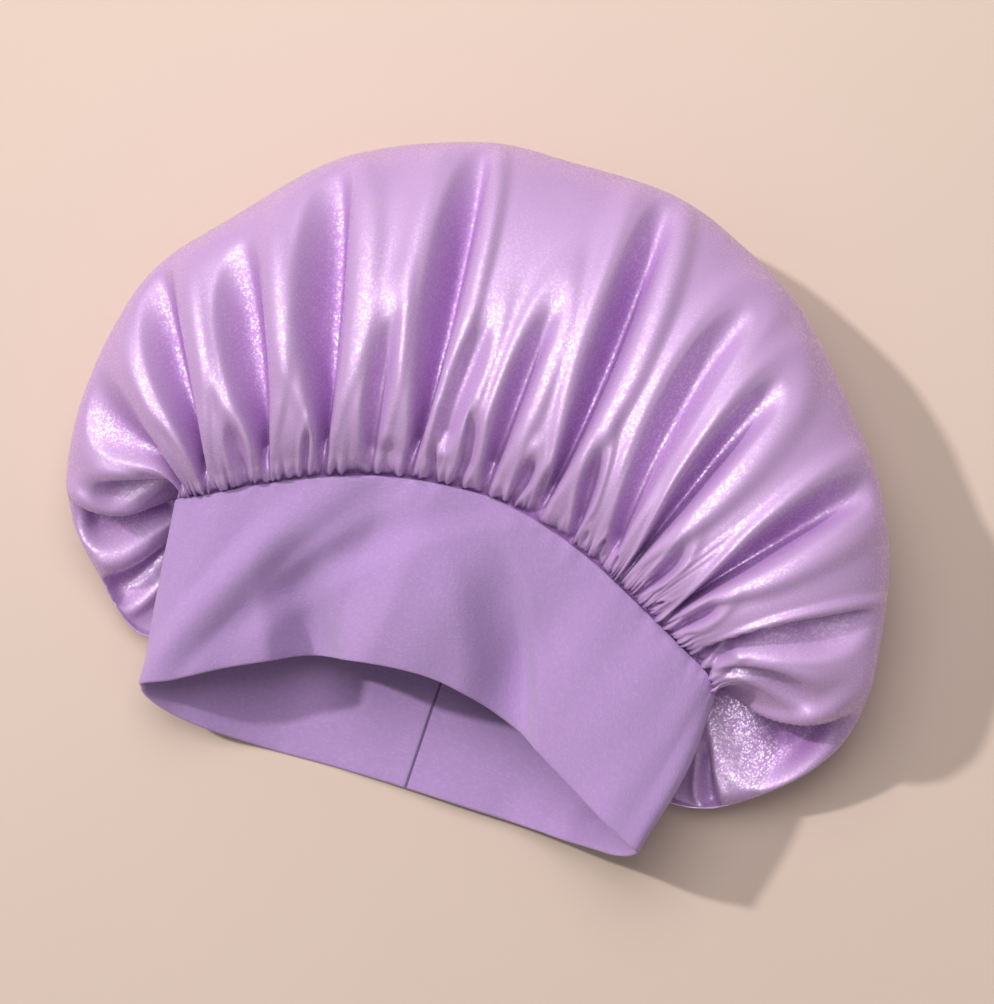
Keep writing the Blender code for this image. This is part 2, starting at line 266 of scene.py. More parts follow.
def sizes():
    """The sizes set in the panel."""
    return bpy.context.scene.bonnet_sizes


def colours():
    """The colours set in the panel."""
    return bpy.context.scene.bonnet_colours


def unit(vectors):
    """Vectors of length one."""
    return vectors / np.maximum(np.linalg.norm(vectors, axis=-1, keepdims=True), 1e-12)


def bump(distance):
    """Smooth bump: the square of one less the squared distance, and nothing past distance 1."""
    return np.where(np.abs(distance) < 1, (1 - distance**2) ** 2, 0.0)


def swell(place, middle, width):
    """Bell curve: e to the power of less the square of the distance from its middle over its width."""
    return np.exp(-(((place - middle) / width) ** 2))


def ease(share):
    """Smooth step from 0 to 1: three squares less two cubes."""
    share = np.clip(share, 0, 1)
    return share * share * (3 - 2 * share)


def closed_spline(rows, places, turn=0.0):
    """Catmull and Rom's cubic through the rows, closed; the first column grows by turn each round."""
    step = np.floor(places).astype(int)
    part = (places - step)[:, None]
    lap = np.zeros(rows.shape[1])
    lap[0] = turn
    before, here, after, beyond = (
        rows[(step + k) % len(rows)] + ((step + k) // len(rows))[:, None] * lap for k in (-1, 0, 1, 2)
    )
    return 0.5 * (
        2 * here
        + (after - before) * part
        + (2 * before - 5 * here + 4 * after - beyond) * part**2
        + (3 * here - before - 3 * after + beyond) * part**3
    )


def band_edges(places):
    """Sewn edge and rim of the middle of the band's wall: shares of the sizes, splined round the head."""
    size = sizes()
    across, arch, top_lift, rim_lift, drop = closed_spline(BAND_SECTIONS, places).T
    bow = arch * size.band_arch
    top = np.stack([
        across * size.band_spread / 2, bow - drop * size.band_depth, top_lift * size.band_lift], -1)
    rim = np.stack([across * size.rim_spread / 2, bow - size.band_depth, rim_lift * size.band_lift], -1)
    lying = (-np.inf, -np.inf, size.band_wall / 2)
    aside = (size.band_shift, 0, 0)
    return np.maximum(top, lying) + aside, np.maximum(rim, lying) + aside


NUDGE = 0.02              # sections to either side that the band's direction is taken from


def band_frame(places):
    """Sewn edge and rim with the wall's upward direction, and its outward one square to edge and way up."""
    top, rim = band_edges(places)
    along = sum(band_edges(places + NUDGE)) - sum(band_edges(places - NUDGE))
    upward = unit(top - rim)
    return top, rim, upward, unit(np.cross(along, upward))


def dents(places, up):
    """How far the band's wall is pushed in: a bump across each fold's parabola, faded off its peak."""
    depth = 0.0
    for at_rim, at_middle, at_top, peak, reach, left, right, deep in BAND_FOLDS:
        bow = 4 * at_middle - 2 * (at_rim + at_top)
        away = places - (at_rim + (at_top - at_rim) * up + bow * up * (1 - up))
        width = np.where(away < 0, left, right)
        depth = depth + deep * bump(away / width) * bump((up - peak) / reach)
    return depth * sizes().dent_depth


def inside_band(places, below):
    """Places inside the band with the clearance, at a distance below its sewn edge."""
    size = sizes()
    top, _, upward, out = band_frame(places)
    dent = dents(places % len(BAND_SECTIONS), 1 - below / size.band_depth)[:, None] * (1, 0, 1)
    return top - upward * below - out * (size.band_wall / 2 + size.clearance + dent), upward


def into_frame(points):
    """Places moved from the line between the band's folds into the CAD's frame, which is the box's middle."""
    return points + FRAME_PLACE


def add_grid(name, points, flat, pole=None):
    """Mesh of a grid of points, columns by rows, closed round its columns.

    flat holds its places on the uncut cloth, with one column more. pole closes the last row with a fan.
    """
    columns, rows = points.shape[:2]
    c, r = (index.ravel() for index in np.meshgrid(np.arange(columns), np.arange(rows - 1), indexing="ij"))
    corners = np.stack([(c, r), (c + 1, r), (c + 1, r + 1), (c, r + 1)], 1).transpose(2, 1, 0)
    vertices = points.reshape(-1, 3)
    loops = ((corners[..., 0] % columns) * rows + corners[..., 1]).ravel()
    counts = np.full(len(corners), 4)
    spread = flat[corners[..., 0], corners[..., 1]].reshape(-1, 2)
    if pole is not None:
        last = np.arange(columns) * rows + rows - 1
        fan = np.stack([last, np.roll(last, -1), np.full(columns, columns * rows)], -1)
        edge = flat[:, -1]
        deeper = np.linalg.norm(points[:, -1] - pole, axis=-1).mean()
        middle = (edge[:-1] + edge[1:]) / 2 + (0, deeper)
        vertices = np.concatenate([vertices, pole[None]])
        loops = np.concatenate([loops, fan.ravel()])
        counts = np.concatenate([counts, np.full(columns, 3)])
        spread = np.concatenate([spread, np.stack([edge[:-1], edge[1:], middle], 1).reshape(-1, 2)])
    mesh = bpy.data.meshes.new(name)
    mesh.vertices.add(len(vertices))
    mesh.vertices.foreach_set("co", vertices.ravel())
    mesh.loops.add(len(loops))
    mesh.loops.foreach_set("vertex_index", loops)
    mesh.polygons.add(len(counts))
    mesh.polygons.foreach_set("loop_start", np.concatenate([[0], np.cumsum(counts)[:-1]]))
    mesh.uv_layers.new(name="cloth").data.foreach_set("uv", spread.ravel())
    mesh.update()
    mesh.shade_smooth()
    piece = bpy.data.objects.new(name, mesh)
    bpy.context.collection.objects.link(piece)
    return piece


def thicken(piece, wall, offset):
    """Give a sheet its thickness, on one side or, with offset 0, on both."""
    solid = piece.modifiers.new("wall", "SOLIDIFY")
    solid.thickness = wall
    solid.offset = offset
    solid.use_even_offset = False


def ripple(places, count, seed, waves=5):
    """Slow wobble round a closed line, mostly from -1 to 1: sines of whole waves with seeded phases."""
    rng = np.random.default_rng(seed)
    turns = rng.integers(count // 2, count + 1, waves)
    phase = rng.uniform(0, 2 * pi, waves)
    return sum(np.sin(2 * pi * turns[k] * places + phase[k]) for k in range(waves)) / waves**0.5


# Columns of the crown stand close together from the first to the last of these sections.
CROWN_DENSE = (-2.1, 14.8)
CROWN_COLUMNS = 32        # to a section there
BACK_COLUMNS = 10         # to a section at the back
SEAM_ROWS = 3             # inside the band and in the crown's neck
DOME_ROWS = 62            # from the neck to the outermost place
ROLL_ROWS = 8             # from there down to the ground
FLOOR_ROWS = 4            # from there to the pole
ROW_CROWDING = 1.4        # above 1, the dome's rows are closer together near the seam
BOX_SHARE = 0.997         # width of the crown's box, share of the width that its sections are shares of
DOME_FULLNESS = 0.62      # power of the sine by which the dome rises; below 1 it is fuller than a sine

# Gathers. Lengths along a gather are shares of it, widths across it are in its half widths.
GATHER_BROAD = 0.55       # it is at its broadest from here on
HEART = 0.58              # its closing arch begins here
VALLEY_POWER = 1.25       # of the profile across it
BEGIN_EARLY = 0.012       # share of the dome by which it begins before its start
BEGIN_LENGTH = 0.06       # share of the dome over which it deepens
RIM_HEIGHT = 0.18         # of the low rim round it, share of its depth
RIM_PLACE = 1.32
RIM_WIDTH = 0.34
RIM_GROWN = 0.5           # the rim has its full height from here on
RIM_FADES = 0.8           # share of the dome where the rim begins to fade
RIM_FADING = 0.18         # share of the dome that this takes
LEAN_PLACE = 0.85         # where its wall leans most
LEAN_WIDTH = 0.45

# Fine puckers, broader from row to row.
PUCKER_FOLDS = (
    # share of their number, height, fade along the dome, seed
    (1.0, 0.9, 0.030, 3),
    (0.45, 1.3, 0.055, 5),
    (0.22, 0.6, 0.20, 8),
)
PUCKER_WANDER = ((3.0, 24), (1.6, 60))    # radians that the phase wanders by, and most waves round the head
PUCKER_DRIFT = (4.0, 12)                  # the same for its drift along the dome
PUCKER_STRENGTH = (0.75, 0.45, 40)        # mean, change and most waves round the head
PUCKER_LEVEL = 0.7                        # the |sin| that leaves the cloth where it is
TOE_PLACE = 0.03                          # share of the dome, for the round toe of the puckers
TOE_WIDTH = 0.045
TOE_HEIGHT = 0.8                          # share of the pucker depth
TOE_PUCKERS = 0.7                         # share of the puckers' height on the toe

SEAM_SHADE = 0.6          # painted shade of the satin right at the seam, share of that in the deepest gather
SHADE_LENGTH = 0.010      # share of the dome by which it fades


def crown_columns():
    """Section numbers of the crown's columns. The last column lies on the first and closes the round."""
    first, last = CROWN_DENSE
    count = len(CROWN_SECTIONS)
    front = np.arange(round((last - first) * CROWN_COLUMNS)) / CROWN_COLUMNS + first
    steps = round((count - last + first) * BACK_COLUMNS)
    back = last + (count - last + first) * np.arange(steps + 1) / steps
    return np.concatenate([front, back])


def crown_skin(sections):
    """Outer skin of the crown: rows from its edge inside the band, over the dome and under to a pole.

    At share s of the dome a section has taken (1 - cos(pi s)) / 2 + slope s (1 - s)^3 of the straight way to
    its outermost place, where the slope falls with the square of 1 - lead. It runs on from the seam by lead
    times sin(pi s) (1 + cos(pi s)) / 2, and rises by a power of sin(pi s). Then it rolls in by a quarter
    ellipse and lies on the ground.
    """
    size = sizes()
    seam, across, forward, lift, rise, lead, roll = closed_spline(
        CROWN_SECTIONS, sections, len(BAND_SECTIONS)).T
    hidden, _ = inside_band(seam, size.allowance)
    start, upward = inside_band(seam, 0.0)
    neck = start + upward * (size.band_wall / 2 + size.neck)
    half_width = (CROWN_BOX[1][0] - CROWN_BOX[0][0]) / 2 / BOX_SHARE
    far = np.stack([
        across * half_width, forward * size.crown_reach, np.maximum(lift, 0) * size.crown_height], -1)
    pole = np.array([0.0, size.crown_rest, 0.0])
    inward = unit((pole - far) * (1, 1, 0))
    flat = far * (1, 1, 0)

    share = dome_shares()[None, :, None]
    angle = share * pi
    slope = (size.seam_slope * (1 - lead) ** 2)[:, None, None]
    run = (1 - np.cos(angle)) / 2 + slope * share * (1 - share) ** 3
    dome = neck[:, None] + (far - neck)[:, None] * run
    bulge = upward * (lead * size.crown_roll)[:, None]
    dome = dome + bulge[:, None] * np.sin(angle) * (1 + np.cos(angle)) / 2
    risen = np.maximum(np.sin(angle[..., 0]), 0) ** DOME_FULLNESS
    dome[..., 2] += (rise * size.crown_height)[:, None] * risen
    turn = np.linspace(0, pi / 2, ROLL_ROWS + 1)[None, 1:, None]
    rolled = (inward * (roll * size.crown_roll)[:, None])[:, None] * (1 - np.cos(turn))
    under = flat[:, None] + rolled + (far - flat)[:, None] * (1 - np.sin(turn))
    part = np.linspace(0, 1, FLOOR_ROWS + 1)[None, 1:-1, None]
    ground = under[:, -1:] + (pole - under[:, -1:]) * part
    return np.concatenate([hidden[:, None], start[:, None], neck[:, None], dome, under, ground], 1), pole


def dome_shares():
    """Shares of the dome's rows, closer together near the seam."""
    return (np.arange(1, DOME_ROWS + 1) / DOME_ROWS) ** ROW_CROWDING


def gather_field(sections):
    """Depth of the gathers over the dome, and how far its cloth leans round the head, in sections.

    Each gather is a valley along a parabola through its three sections. Across it the depth is a power of
    1 - q^2, where q is the distance from its middle over its half width, which grows from its mouth. Past its
    heart q takes in the distance to the tip, so the valley ends in an arch. A low rim stands round it.
    """
    size = sizes()
    count = len(CROWN_SECTIONS)
    section = sections[:, None]
    share = dome_shares()[None, :]
    depth = np.zeros((len(sections), DOME_ROWS))
    shift = np.zeros_like(depth)
    for at_seam, at_middle, at_tip, start, end, left, right, mouth, deep, lean in GATHERS:
        part = (share - start) / (end - start)
        bow = 4 * at_middle - 2 * (at_seam + at_tip)
        middle = at_seam + (at_tip - at_seam) * part + bow * part * (1 - part)
        away = (section - middle + count / 2) % count - count / 2
        broad = mouth + (1 - mouth) * ease(part / GATHER_BROAD)
        side = away / (np.where(away < 0, left, right) * broad)
        beyond = np.clip((part - HEART) / (1 - HEART), 0, None)
        q = np.sqrt(side**2 + beyond**2)
        begin = np.clip((share - start + BEGIN_EARLY) / BEGIN_LENGTH, 0, 1)
        valley = np.clip(1 - q**2, 0, None) ** VALLEY_POWER
        rim = RIM_HEIGHT * swell(q, RIM_PLACE, RIM_WIDTH) * ease(part / RIM_GROWN)
        rim = rim * (1 - ease((share - RIM_FADES) / RIM_FADING))
        depth += deep * begin * (valley - rim)
        wall = swell(np.sign(lean) * side, LEAN_PLACE, LEAN_WIDTH) * np.clip(1 - beyond**2, 0, None)
        shift -= lean * (right if lean > 0 else left) * broad * begin * wall
    return depth * size.gather_depth, shift


def pucker_field(sections):
    """Height of the fine puckers that spread from the seam: folds of one, two and nearly five pitches.

    Each is |sin| round the head, rounded on top and sharp below, with a wandering phase and strength, and
    fades out along the dome. A round toe stands out just past the seam.
    """
    size = sizes()
    round_head = (sections / len(CROWN_SECTIONS))[:, None]
    share = dome_shares()[None, :]
    toe = bump(np.clip((share - TOE_PLACE) / TOE_WIDTH, -1, 1))
    drift, drift_waves = PUCKER_DRIFT
    mean, change, strength_waves = PUCKER_STRENGTH
    height = 0.0
    for part, strong, fade, seed in PUCKER_FOLDS:
        turns = round(size.puckers * part)
        wander = sum(
            far * ripple(round_head, waves, seed + k) for k, (far, waves) in enumerate(PUCKER_WANDER))
        strength = mean + change * ripple(round_head, strength_waves, seed + 2)
        aside = drift * share * ripple(round_head, drift_waves, seed + 3)
        swing = np.abs(np.sin(pi * turns * round_head + wander + aside))
        faded = np.exp(-share / fade) + TOE_PUCKERS * toe
        height = height + strong * strength * (swing - PUCKER_LEVEL) * faded
    return (height + TOE_HEIGHT * toe) * size.pucker_depth


def gathered(skin, sections):
    """The crown's skin with its gathers, leaning folds and puckers, and the painted shade of each of its
    places.

    The painted shade is 1 inside the seam. On the dome it is the share of the deepest gather, with more by
    the seam.
    """
    size = sizes()
    round_head = np.roll(skin, -1, 0) - np.roll(skin, 1, 0)
    normal = unit(np.cross(round_head, np.gradient(skin, axis=1)))
    side = unit(round_head)
    dome = slice(SEAM_ROWS, SEAM_ROWS + DOME_ROWS)
    under = slice(SEAM_ROWS + DOME_ROWS, None)
    depth, shift = gather_field(sections)
    lift = pucker_field(sections) - depth
    pressed = skin.copy()
    spacing = np.linalg.norm(np.gradient(skin[:, dome], sections, axis=0), axis=-1)
    pressed[:, dome] += normal[:, dome] * lift[..., None] + side[:, dome] * (shift * spacing)[..., None]
    fade = (1 - ease(np.arange(skin.shape[1] - SEAM_ROWS - DOME_ROWS) / ROLL_ROWS))[None, :, None]
    pressed[:, under] += normal[:, under] * lift[:, -1:, None] * fade
    pressed[..., 2] = np.maximum(pressed[..., 2], size.floor_gap)
    # Painted shade for the satin's colour: full inside the seam, the share of the deepest gather on the dome,
    # more by the seam.
    valley = np.zeros(skin.shape[:2])
    valley[:, :SEAM_ROWS] = 1.0
    by_seam = SEAM_SHADE * np.exp(-dome_shares() / SHADE_LENGTH)
    valley[:, dome] = np.clip(depth / size.gather_depth + by_seam, 0, 1)
    return pressed, valley


def flat_places(points, rounds):
    """Places on the uncut cloth: rounds holds how far round each column is, and how far up is its own length.

    The first column's lengths come again after the last one's, where the round closes.
    """
    lengths = np.linalg.norm(np.diff(points, axis=1), axis=-1)
    along = np.concatenate([np.zeros((len(points), 1)), np.cumsum(lengths, 1)], 1)
    along = np.concatenate([along, along[:1]])
    return np.stack([np.broadcast_to(rounds[:, None], along.shape), along], -1)


BAND_COLUMNS = 16         # to a section
WALL_ROWS = 34            # of each layer, from the sewn edge to the rim
FOLD_STEPS = 6            # round the rim
LIP_ROWS = 3              # of each layer's edge, which turns in over the seam
LIP_OUTER = 0.55          # how far the outer lip leans in, share of half the wall
LIP_INNER = 0.35
LIP_UP = 0.5              # how far both stand up, share of half the wall
BAND_ROUND = 0.50         # length of the uncut knit that goes round
BACK_SEAM = 16.33         # section of the band where its two ends are joined
SEAM_STEPS = (-0.12, -0.06, -0.026, -0.012, -0.004, 0.004, 0.012, 0.026, 0.06, 0.12)   # columns by that seam
SEAM_CLEAR = 0.18         # even columns closer to it are left out, in sections
GROOVE_SHADE_WIDTH = 0.00025       # half width of the line of painted shade in its groove
SEAM_GROOVE = (
    # depth, half width in sections: the groove and the swell on both sides
    (0.0009, 0.010),
    (-0.0002, 0.06),
)
SLANT_RIDGES = (
    # height, slant, most waves round the head, seed
    (0.0005, 0.035, 9, 21),
    (0.00025, -0.05, 20, 22),
)
GATHER_PULL = (0.00022, 70, 23)           # height, most waves and seed of the pull of the crown's gathers
PULL_FROM = 0.86                          # share of the way up the wall where it begins
RIM_WAVE = (0.0003, 30, 24)               # the same for the loose wave of the rim
RIM_WAVE_END = 0.3                        # share of the way up the wall where it ends
INNER_RELIEF = 0.6                        # share of both on the inner layer


def band_columns():
    """Section numbers of the band's columns, with more of them close to the seam at its back."""
    even = np.arange(len(BAND_SECTIONS) * BAND_COLUMNS) / BAND_COLUMNS
    even = even[np.abs(even - BACK_SEAM) > SEAM_CLEAR]
    return np.sort(np.concatenate([even, BACK_SEAM + np.array(SEAM_STEPS)]))


def back_seam(places):
    """Groove of the seam that joins the band's two ends: a narrow dip with a low swell on both sides."""
    return sum(depth * swell(places, BACK_SEAM, width) for depth, width in SEAM_GROOVE)


def band_relief(places, up, inner):
    """How far a layer of the band stands out: soft slanting ridges, the gathers' pull and the rim's wave."""
    share = places / len(BAND_SECTIONS)
    slant = sum(height * ripple(share + lean * up, waves, seed) for height, lean, waves, seed in SLANT_RIDGES)
    height, waves, seed = GATHER_PULL
    pull = height * ripple(share, waves, seed) * ease((up - PULL_FROM) / (1 - PULL_FROM))
    height, waves, seed = RIM_WAVE
    edge = height * ripple(share, waves, seed) * (1 - ease(up / RIM_WAVE_END))
    return slant + (pull + edge) * (INNER_RELIEF if inner else 1.0)


def band_sheet():
    """The folded knit: rows down the outer layer from the sewn edge, round the rim and up the inner layer.

    Each layer lies half a wall, less half a knit, from the middle between the sewn edge and the rim.
    """
    size = sizes()
    places = band_columns()
    top, rim, upward, out = (side[:, None] for side in band_frame(places))
    half = (size.band_wall - size.knit_wall) / 2
    up = np.linspace(1, 0, WALL_ROWS + 1)[None, :]
    column = places[:, None]
    middle = rim + (top - rim) * up[..., None] - out * (1, 0, 1) * dents(column, up)[..., None]
    groove = back_seam(column)
    outer = middle + out * (half + band_relief(column, up, False) - groove)[..., None]
    inner = middle - out * (half - band_relief(column, up, True) - groove)[..., None]
    turn = np.linspace(0, pi, FOLD_STEPS + 1)[None, 1:-1, None]
    centre = (outer[:, -1:] + inner[:, -1:]) / 2
    reach = (outer[:, -1:] - inner[:, -1:]) / 2
    fold = centre + reach * np.cos(turn) - upward * half * np.sin(turn)
    rise = 1 - np.linspace(0, 1, LIP_ROWS + 1)[None, :-1, None]
    turned_out, turned_in = (
        layer[:, :1] + out * lean * half * rise**2 + upward * LIP_UP * half * rise
        for layer, lean in ((outer, -LIP_OUTER), (inner, LIP_INNER)))
    return np.concatenate([turned_out, outer, fold, inner[:, ::-1], turned_in[:, ::-1]], 1), places


def new_group(name, inputs, outputs):
    """Start a shader node group with named inputs (kind and default) and outputs (kind)."""
    group = bpy.data.node_groups.new(name, "ShaderNodeTree")
    for label, kind, value in inputs:
        socket = group.interface.new_socket(name=label, in_out="INPUT", socket_type=kind)
        if value is not None:
            socket.default_value = value
    for label, kind in outputs:
        group.interface.new_socket(name=label, in_out="OUTPUT", socket_type=kind)
    return group, group.nodes.new("NodeGroupInput"), group.nodes.new("NodeGroupOutput")


def math(tree, operation, *values):
    """A Math node whose inputs are sockets or numbers."""
    node = tree.nodes.new("ShaderNodeMath")
    node.operation = operation
    for socket, value in zip(node.inputs, values):
        if isinstance(value, (int, float)):
            socket.default_value = value
        else:
            tree.links.new(value, socket)
    return node.outputs[0]


def noise(tree, vector, scale, detail=2.0, rough=0.5):
    """A Noise Texture node on a vector; scale is a number or a socket."""
    node = tree.nodes.new("ShaderNodeTexNoise")
    node.inputs["Detail"].default_value = detail
    node.inputs["Roughness"].default_value = rough
    tree.links.new(vector, node.inputs["Vector"])
    if isinstance(scale, (int, float)):
        node.inputs["Scale"].default_value = scale
    else:
        tree.links.new(scale, node.inputs["Scale"])
    return node.outputs["Fac"]


RIB_WAVER = 3.0           # radians by which the floats bend the ribs
FLECK_SPREAD = 0.8        # how unevenly the flecks lie, from 0 to 1
FLECK_FALL = 1.3          # how fast a fleck fades from its middle


def threads_group():
    """Threads of a cloth: fine ribs at a slant, short uneven floats and scattered round flecks.

    The ribs are half of one plus the sine of the way across, bent by the floats. A fleck is one less the
    distance from its middle times its fall, and its strength is drawn by lot. All is counted in pitches.
    """
    group, given, made = new_group(
        "threads",
        [("Flat", "NodeSocketVector", None), ("Pitch", "NodeSocketFloat", 0.0012),
         ("Stretch", "NodeSocketFloat", 3.0), ("Turn", "NodeSocketFloat", 0.6)],
        [("Ribs", "NodeSocketFloat"), ("Floats", "NodeSocketFloat"), ("Flecks", "NodeSocketFloat")])
    links = group.links
    turned = group.nodes.new("ShaderNodeVectorRotate")
    turned.rotation_type = "Z_AXIS"
    links.new(given.outputs["Flat"], turned.inputs["Vector"])
    links.new(given.outputs["Turn"], turned.inputs["Angle"])
    split = group.nodes.new("ShaderNodeSeparateXYZ")
    links.new(turned.outputs[0], split.inputs[0])
    across, along, deep = (math(group, "DIVIDE", way, given.outputs["Pitch"]) for way in split.outputs)
    joined = group.nodes.new("ShaderNodeCombineXYZ")
    links.new(across, joined.inputs[0])
    links.new(math(group, "DIVIDE", along, given.outputs["Stretch"]), joined.inputs[1])
    links.new(deep, joined.inputs[2])
    floats = noise(group, joined.outputs[0], 1.0, rough=0.55)
    cells = group.nodes.new("ShaderNodeTexVoronoi")
    cells.inputs["Scale"].default_value = 1.0
    cells.inputs["Randomness"].default_value = FLECK_SPREAD
    links.new(joined.outputs[0], cells.inputs["Vector"])
    lot = group.nodes.new("ShaderNodeSeparateXYZ")
    links.new(cells.outputs["Color"], lot.inputs[0])
    faded = math(group, "MULTIPLY_ADD", cells.outputs["Distance"], -FLECK_FALL, 1.0)
    dot = math(group, "MAXIMUM", faded, 0.0)
    bent = math(group, "MULTIPLY", floats, RIB_WAVER)
    waving = math(group, "ADD", math(group, "MULTIPLY", across, 2 * pi), bent)
    links.new(math(group, "MULTIPLY_ADD", math(group, "SINE", waving), 0.5, 0.5), made.inputs["Ribs"])
    links.new(floats, made.inputs["Floats"])
    links.new(math(group, "MULTIPLY", dot, lot.outputs[0]), made.inputs["Flecks"])
    return group


FINE_DRIFT = (4.3, 0.35)  # how much finer the second noise is, and its share


def drift_group():
    """Slow change of colour over a cloth, from Object coordinates: two scales of soft noise."""
    group, given, made = new_group(
        "drift", [("Place", "NodeSocketVector", None), ("Size", "NodeSocketFloat", 0.05)],
        [("Drift", "NodeSocketFloat")])
    finer, part = FINE_DRIFT
    pace = math(group, "DIVIDE", 1.0, given.outputs["Size"])
    broad = noise(group, given.outputs["Place"], pace)
    fine = noise(group, given.outputs["Place"], math(group, "MULTIPLY", pace, finer), rough=0.6)
    mixed = math(group, "MULTIPLY_ADD", fine, part, math(group, "MULTIPLY", broad, 1 - part))
    group.links.new(mixed, made.inputs["Drift"])
    return group


def set_inputs(node, values):
    """Give a node's named inputs their values."""
    for label, value in values.items():
        node.inputs[label].default_value = value


def place_group(tree, maker, **values):
    """Put a group, built once, into a material and set its named inputs."""
    group = bpy.data.node_groups.get(maker.__name__.removesuffix("_group")) or maker()
    node = tree.nodes.new("ShaderNodeGroup")
    node.node_tree = group
    set_inputs(node, values)
    return node


def new_material(name, roughness):
    """A material with its Principled shader, Object and flat cloth coordinates."""
    material = bpy.data.materials.new(name)
    material.use_nodes = True
    tree = material.node_tree
    shader = tree.nodes["Principled BSDF"]
    shader.inputs["Roughness"].default_value = roughness
    spot = tree.nodes.new("ShaderNodeTexCoord")
    flat = tree.nodes.new("ShaderNodeUVMap")
    flat.uv_map = "cloth"
    return material, tree, shader, spot.outputs["Object"], flat.outputs["UV"]


def blend_colours(tree, factor, first, second):
    """Mix of two colours, each a colour or a socket, by a factor."""
    node = tree.nodes.new("ShaderNodeMix")
    node.data_type = "RGBA"
    node.clamp_factor = True
    tree.links.new(factor, node.inputs["Factor"])
    for label, value in (("A", first), ("B", second)):
        socket = next(s for s in node.inputs if s.name == label and s.type == "RGBA")
        if hasattr(value, "is_output"):
            tree.links.new(value, socket)
        else:
            socket.default_value = (*value, 1.0)
    return next(s for s in node.outputs if s.type == "RGBA")


def add_bump(tree, shader, height, depth, strength=1.0):
    """Bump the shader's normal by a height, in metres of depth."""
    node = tree.nodes.new("ShaderNodeBump")
    node.inputs["Strength"].default_value = strength
    node.inputs["Distance"].default_value = depth
    tree.links.new(height, node.inputs["Height"])
    tree.links.new(node.outputs["Normal"], shader.inputs["Normal"])


# How far the satin goes over to its deep colour: by the slow drift, and as painted shade in the deepest
# gather.
SATIN_DEEP = (0.25, 0.9)
SATIN_ROUGH = (0.10, 0.46)                # roughness: growth by the floats, and least
SATIN_GLITTER = (4.0, -0.25)              # weight of the coat: growth by the flecks, and start
SATIN_GLOSS = {
    "Coat Roughness": 0.36, "Coat IOR": 1.9, "Specular IOR Level": 0.7, "Metallic": 0.20,
    "Sheen Weight": 0.12, "Sheen Roughness": 0.35,
}
KNIT_PALE = (0.4, 0.22, 0.75)             # how far the knit goes over to pale: by the drift, ribs and flecks
KNIT_RIBS = 0.25                          # height of the ribs, share of the flecks' height
KNIT_DEPTH = 0.00018                      # height of the flecks
KNIT_BUMP = 0.8                           # strength of the bump
KNIT_GLOSS = {"Specular IOR Level": 0.25, "Sheen Weight": 0.30, "Sheen Roughness": 0.6}
GROUND_FALLOFF = (1.6, -0.9)               # painted falloff of light: how much deeper its colour is to the right and the back, per metre
GROUND_DRIFT = 0.4                        # how much deeper by the slow drift
GROUND_MIDDLE = 0.25                      # how deep in the middle
GROUND_SHADE = 0.86                       # its deepest colour, from the painted falloff and the drift, share of its own


def satin_material():
    """Smooth satin: broad soft gloss, a glitter of flecks on top, and painted violet shade deep in the
    gathers.
    """
    tint = colours()
    material, tree, shader, place, _ = new_material("satin", roughness=0.4)
    threads = place_group(tree, threads_group, Pitch=0.0009, Stretch=1.2, Turn=0.6)
    drift = place_group(tree, drift_group, Size=0.045)
    tree.links.new(place, threads.inputs["Flat"])
    tree.links.new(place, drift.inputs["Place"])
    # Painted shade from the crown's attribute: deep in the gathers and by the seam.
    valley = tree.nodes.new("ShaderNodeAttribute")
    valley.attribute_name = "valley"
    by_drift, shade_in_valley = SATIN_DEEP
    valley_shade = math(tree, "MULTIPLY", valley.outputs["Fac"], shade_in_valley)
    deep = math(tree, "MULTIPLY_ADD", drift.outputs[0], by_drift, valley_shade)
    body = blend_colours(tree, deep, tint.satin, tint.satin_deep)
    rough = math(tree, "MULTIPLY_ADD", threads.outputs["Floats"], *SATIN_ROUGH)
    glitter = math(tree, "MULTIPLY_ADD", threads.outputs["Flecks"], *SATIN_GLITTER)
    tree.links.new(body, shader.inputs["Base Color"])
    tree.links.new(rough, shader.inputs["Roughness"])
    tree.links.new(glitter, shader.inputs["Coat Weight"])
    set_inputs(shader, SATIN_GLOSS)
    return material


def knit_material():
    """Matt knit: fine slanting grain, pale raised threads, and painted shade in the seam's groove at the
    back.
    """
    tint = colours()
    material, tree, shader, place, flat = new_material("knit", roughness=0.86)
    threads = place_group(tree, threads_group, Pitch=0.0010, Stretch=1.3, Turn=1.05)
    drift = place_group(tree, drift_group, Size=0.05)
    tree.links.new(flat, threads.inputs["Flat"])
    tree.links.new(place, drift.inputs["Place"])
    by_drift, by_ribs, by_flecks = KNIT_PALE
    in_flecks = math(tree, "MULTIPLY", threads.outputs["Flecks"], by_flecks)
    raised = math(tree, "MULTIPLY_ADD", threads.outputs["Ribs"], by_ribs, in_flecks)
    pale = math(tree, "MULTIPLY_ADD", drift.outputs[0], by_drift, raised)
    body = blend_colours(tree, pale, tint.knit, tint.knit_pale)
    split = tree.nodes.new("ShaderNodeSeparateXYZ")
    tree.links.new(flat, split.inputs[0])
    # Line of painted shade in the groove of the seam at the back.
    seam = BACK_SEAM * BAND_ROUND / len(BAND_SECTIONS)
    near = math(tree, "COMPARE", split.outputs[0], seam, GROOVE_SHADE_WIDTH)
    tree.links.new(blend_colours(tree, near, body, tint.seam_line), shader.inputs["Base Color"])
    height = math(tree, "MULTIPLY_ADD", threads.outputs["Ribs"], KNIT_RIBS, threads.outputs["Flecks"])
    add_bump(tree, shader, height, KNIT_DEPTH, KNIT_BUMP)
    set_inputs(shader, KNIT_GLOSS)
    return material


